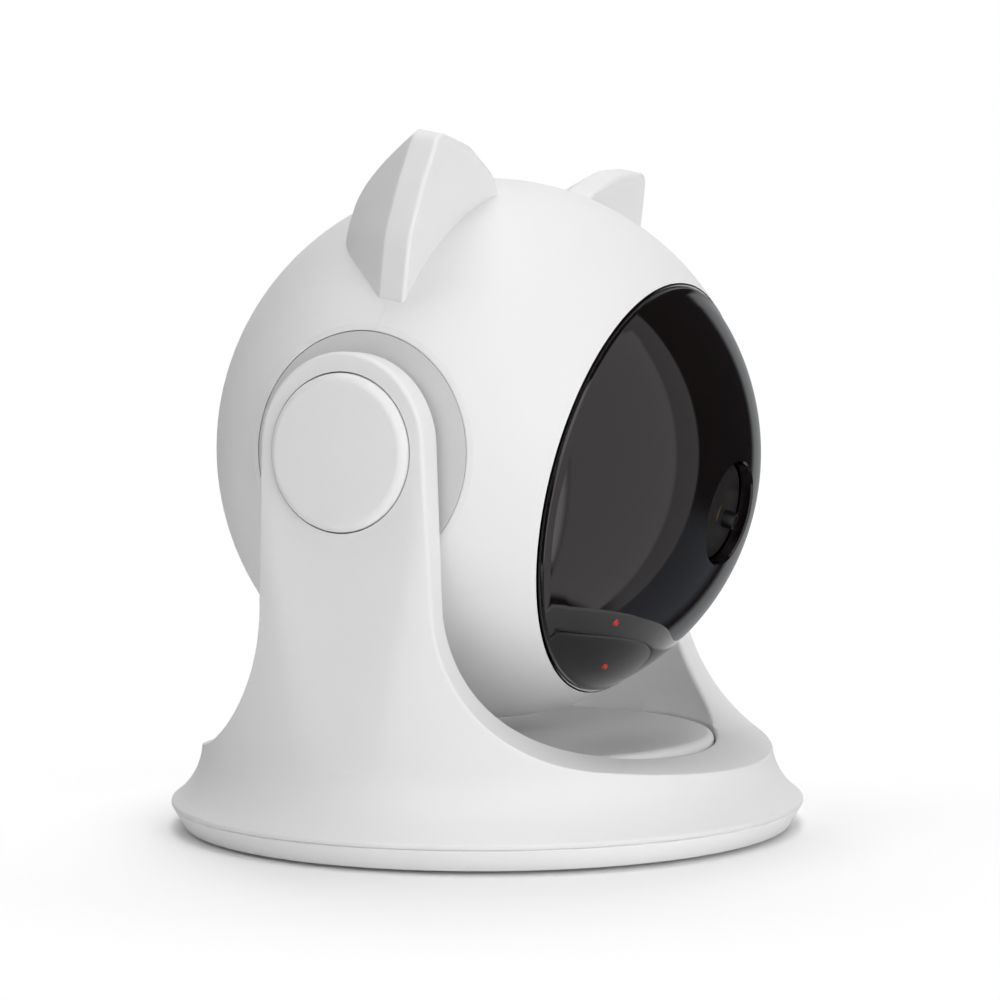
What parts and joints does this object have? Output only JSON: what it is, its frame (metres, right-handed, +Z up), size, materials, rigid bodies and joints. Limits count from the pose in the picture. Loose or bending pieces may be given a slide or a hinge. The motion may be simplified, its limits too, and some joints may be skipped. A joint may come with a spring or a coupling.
{
  "type": "automatic cat laser toy",
  "caption": "Ball-shaped cat laser toy with cat ears and a dark round visor, tilting between the two arms of a flared base; a spinning turret throws the laser dot.",
  "frame": {"origin": "middle of the underside, on the floor under the four feet", "axes": "+Z up, the visor faces -Y, the tilt axle runs along X"},
  "size_m": [0.1, 0.1, 0.106],
  "materials": {
    "white_shell": "satin",
    "satin_liner": "satin",
    "rim_plate": "satin",
    "ballast_steel": "plain",
    "foot_rubber": "matte",
    "screw_steel": "plain",
    "hub_plastic": "satin",
    "washer_rubber": "matte",
    "visor_smoke": "gloss",
    "pipe_red": "gloss",
    "board_green": "satin",
    "led_resin": "gloss",
    "chassis_plastic": "matte",
    "motor_steel": "plain",
    "black_plastic": "matte",
    "contact_brass": "plain",
    "battery_foil": "satin",
    "turret_plastic": "satin",
    "gear_plastic": "satin"
  },
  "bodies": {
    "base": {"base_shell": "white_shell", "cradle_liner": "satin_liner", "base_plate": "rim_plate", "ballast_plate": "ballast_steel", "anti_slip_feet": "foot_rubber", "base_screws": "screw_steel", "pivot_cap_left": "white_shell", "pivot_cap_right": "white_shell"},
    "head": {"head_front_shell": "white_shell", "head_rear_shell": "white_shell", "ear_left": "white_shell", "ear_right": "white_shell", "ear_screws": "screw_steel", "pivot_hub_left": "hub_plastic", "pivot_hub_right": "hub_plastic", "friction_washers": "washer_rubber", "pivot_washers": "screw_steel", "pivot_screws": "screw_steel", "shell_screws": "screw_steel", "visor": "visor_smoke", "light_pipes": "pipe_red", "indicator_board": "board_green", "indicator_leds": "led_resin", "indicator_screws": "screw_steel", "chassis": "chassis_plastic", "chassis_screws": "screw_steel", "gear_motor": "motor_steel", "motor_clamp": "chassis_plastic", "motor_clamp_screws": "screw_steel", "brush_block": "black_plastic", "brush_contacts": "contact_brass", "brush_screw": "screw_steel", "battery": "battery_foil", "battery_strap": "chassis_plastic", "battery_strap_screws": "screw_steel", "control_board": "board_green", "control_board_screws": "screw_steel", "usb_c_port": "motor_steel", "tact_switch": "black_plastic"},
    "turret": {"laser_turret": "turret_plastic", "laser_module": "contact_brass", "laser_nozzle": "black_plastic", "laser_lens": "pipe_red", "turret_gear": "gear_plastic", "turret_clip": "screw_steel", "slip_rings": "contact_brass"},
    "pinion": {"motor_shaft": "motor_steel", "drive_pinion": "gear_plastic"},
    "power_button": {"power_button": "white_shell", "switch_plunger": "black_plastic"}
  },
  "joints": [
    {"name": "head_tilt", "type": "hinge", "parent": "base", "child": "head", "pos_m": [0, 0, 0.0592], "axis": [1, 0, 0], "range_deg": [-43, 27]},
    {"name": "turret_spin", "type": "hinge", "parent": "head", "child": "turret", "pos_m": [0, 0, 0.0592], "axis": [0, -0.9744, -0.225], "continuous": true},
    {"name": "pinion_spin", "type": "hinge", "parent": "head", "child": "pinion", "pos_m": [0, -0.00432, 0.07791], "axis": [0, -0.9744, -0.225], "continuous": true},
    {"name": "power_button_press", "type": "slide", "parent": "head", "child": "power_button", "axis": [0, -0.9744, -0.225], "range_m": [0, 0.0006], "stiffness_N_per_m": 800, "springref_m": -0.0005}
  ],
  "couplings": [
    {"joint": "pinion_spin", "follows": "turret_spin", "ratio": -3}
  ]
}
